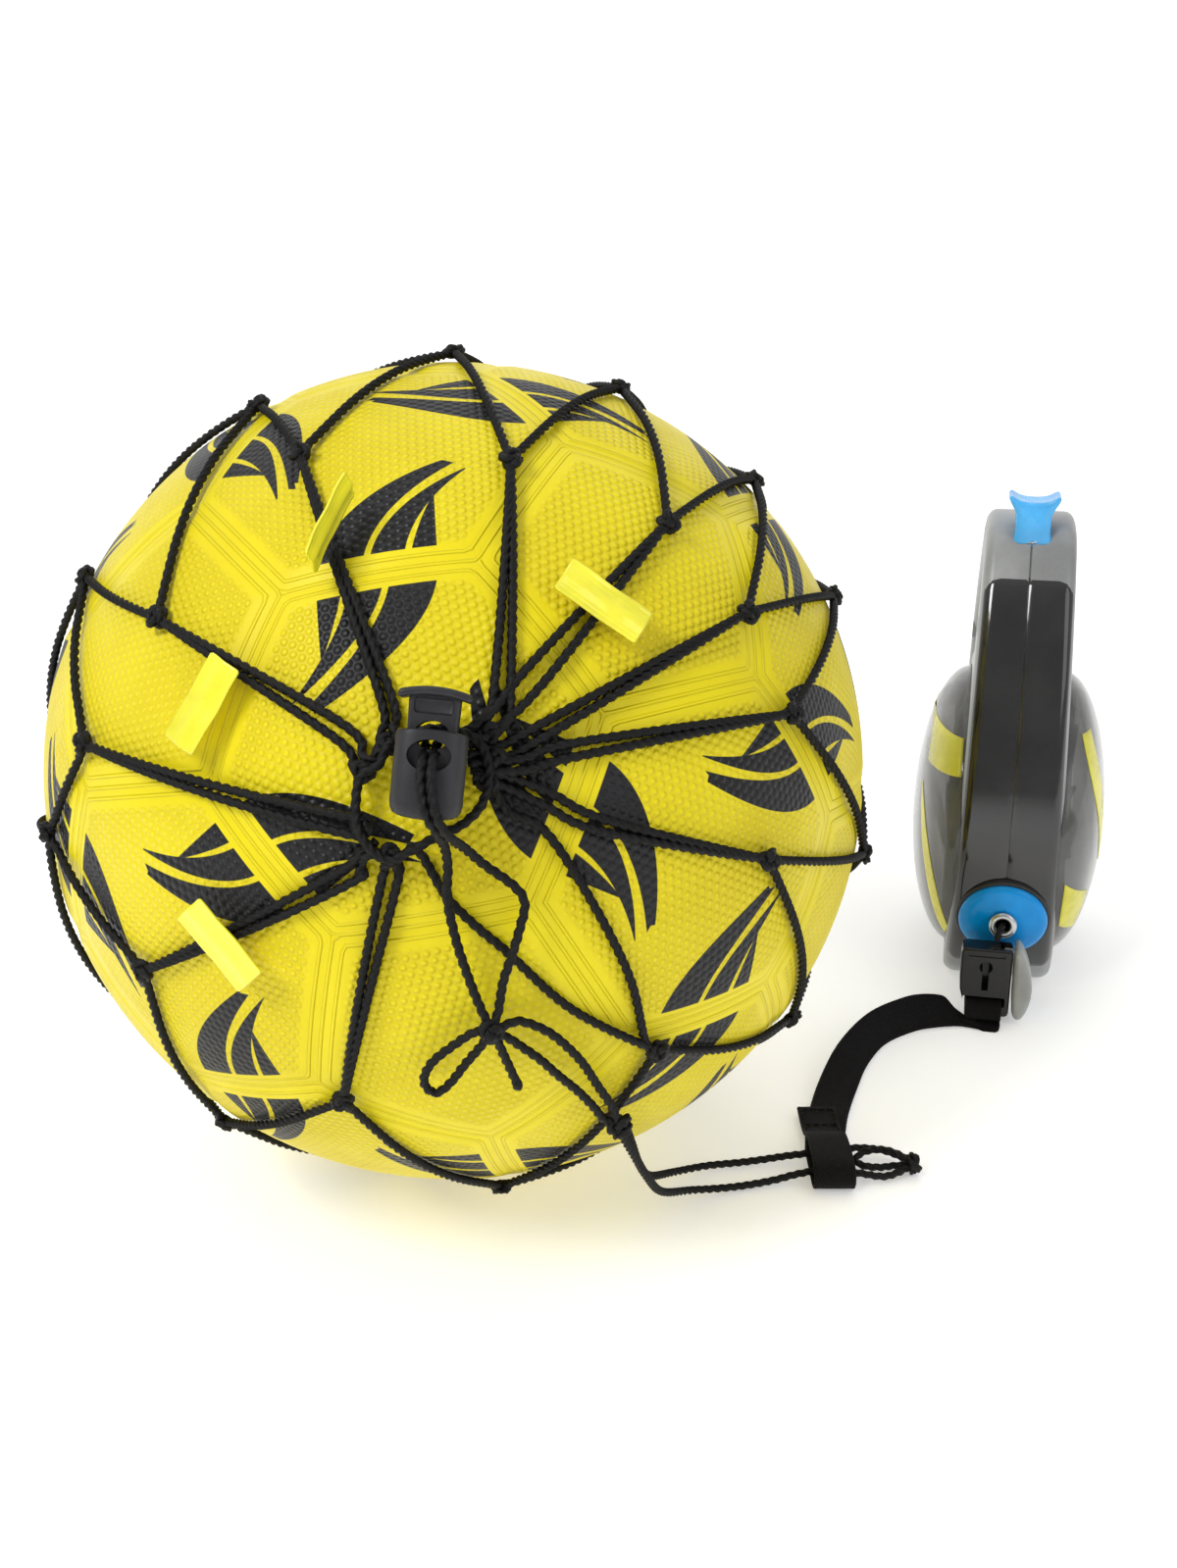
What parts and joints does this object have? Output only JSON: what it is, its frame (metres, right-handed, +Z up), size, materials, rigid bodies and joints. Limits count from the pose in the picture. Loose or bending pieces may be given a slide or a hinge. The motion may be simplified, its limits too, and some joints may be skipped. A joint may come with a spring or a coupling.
{
  "type": "football trainer with tether reel",
  "caption": "Football held in a knotted cord net with a cord lock, tethered by cord and webbing to a retracting hand reel with a thumb brake and a clip.",
  "frame": {"origin": "centre of the set's box on the floor, measured without the free cords and webbing", "axes": "+Z up; the net's mouth and the reel's nose face -Y, and the reel stands at +X of the ball"},
  "size_m": [0.3108, 0.3084, 0.2114],
  "materials": {
    "yellow_rubber": "pebbled, satin",
    "butyl": "matte",
    "black_cord": "twisted, matte",
    "black_web": "woven, matte",
    "charcoal": "fine texture",
    "yellow_tag": "glossy film",
    "reel_grey": "satin",
    "gloss_black": "polished",
    "smoke": "smoky clear plastic",
    "blue": "smooth",
    "grey_lever": "satin",
    "nylon": "satin",
    "steel": "bright"
  },
  "bodies": {
    "ball_and_reel": {"ball_bladder": "butyl", "ball_cover": "yellow_rubber", "ball_net": "black_cord", "ball_valve": "butyl", "bow_knot": "black_cord", "bow_loop": "black_cord", "bow_tail": "black_cord", "button_spring": "steel", "cord_lock_body": "charcoal", "cord_lock_spring": "steel", "draw_cord": "black_cord", "draw_strand_left": "black_cord", "draw_strand_right": "black_cord", "handle_left": "reel_grey", "handle_right": "reel_grey", "housing_screw_1": "steel", "housing_screw_2": "steel", "housing_screw_3": "steel", "housing_screw_4": "steel", "net_hitch": "black_cord", "net_tag_1": "yellow_tag", "net_tag_2": "yellow_tag", "net_tag_3": "yellow_tag", "net_tag_4": "yellow_tag", "nose_panel_left": "gloss_black", "nose_panel_right": "gloss_black", "outlet_bushing": "blue", "outlet_ferrule": "steel", "pawl_pin": "steel", "side_cover_left": "smoke", "side_cover_right": "smoke", "spool_axle": "steel", "spring_ledge": "nylon", "strap": "black_web", "tether_end_knot": "black_cord", "tether_fold": "black_cord", "tether_left": "black_cord", "tether_lower": "black_cord", "tether_right": "black_cord", "tether_upper": "black_cord"},
    "lock_plunger": {"cord_lock_plunger": "charcoal"},
    "thumb_button": {"brake_button": "blue"},
    "pawl": {"brake_pawl": "charcoal"},
    "spool": {"spool": "nylon", "wound_lead": "black_cord", "mainspring": "steel"},
    "clip": {"lead": "black_cord", "clip_body": "charcoal", "lever_pin": "steel", "strap_clip_loop": "black_web"},
    "lever": {"clip_lever": "grey_lever"}
  },
  "joints": [
    {"name": "cord_lock_press", "type": "slide", "parent": "ball_and_reel", "child": "lock_plunger", "axis": [-0.0976, -0.3305, -0.9388], "range_m": [0, 0.004], "stiffness_N_per_m": 300, "springref_m": -0.003, "deforming": ["cord_lock_spring"]},
    {"name": "brake_press", "type": "slide", "parent": "ball_and_reel", "child": "thumb_button", "axis": [0, 0, -1], "range_m": [0, 0.0035], "stiffness_N_per_m": 500, "springref_m": -0.003, "deforming": ["button_spring"]},
    {"name": "pawl_rock", "type": "hinge", "parent": "ball_and_reel", "child": "pawl", "pos_m": [0.11697, 0.05464, 0.094], "axis": [-0.9781, 0.2079, 0], "range_deg": [0, 11.5]},
    {"name": "lead_pull", "type": "slide", "parent": "ball_and_reel", "child": "clip", "axis": [-0.2079, -0.9781, 0], "range_m": [0, 0.045], "stiffness_N_per_m": 30, "springref_m": -0.04},
    {"name": "spool_spin", "type": "hinge", "parent": "ball_and_reel", "child": "spool", "pos_m": [0.12258, 0.08105, 0.051], "axis": [-0.9781, 0.2079, 0], "range_deg": [0, 123]},
    {"name": "clip_lever_turn", "type": "hinge", "parent": "clip", "child": "lever", "pos_m": [0.11388, 0.0281, 0.0216], "axis": [-0.2079, -0.9781, 0], "range_deg": [0, 12], "stiffness_Nm_per_rad": 0.03, "springref_deg": -17.19}
  ],
  "couplings": [
    {"joint": "pawl_rock", "follows": "brake_press", "rad_per_m": 57.1},
    {"joint": "spool_spin", "follows": "lead_pull", "rad_per_m": 47.6}
  ]
}
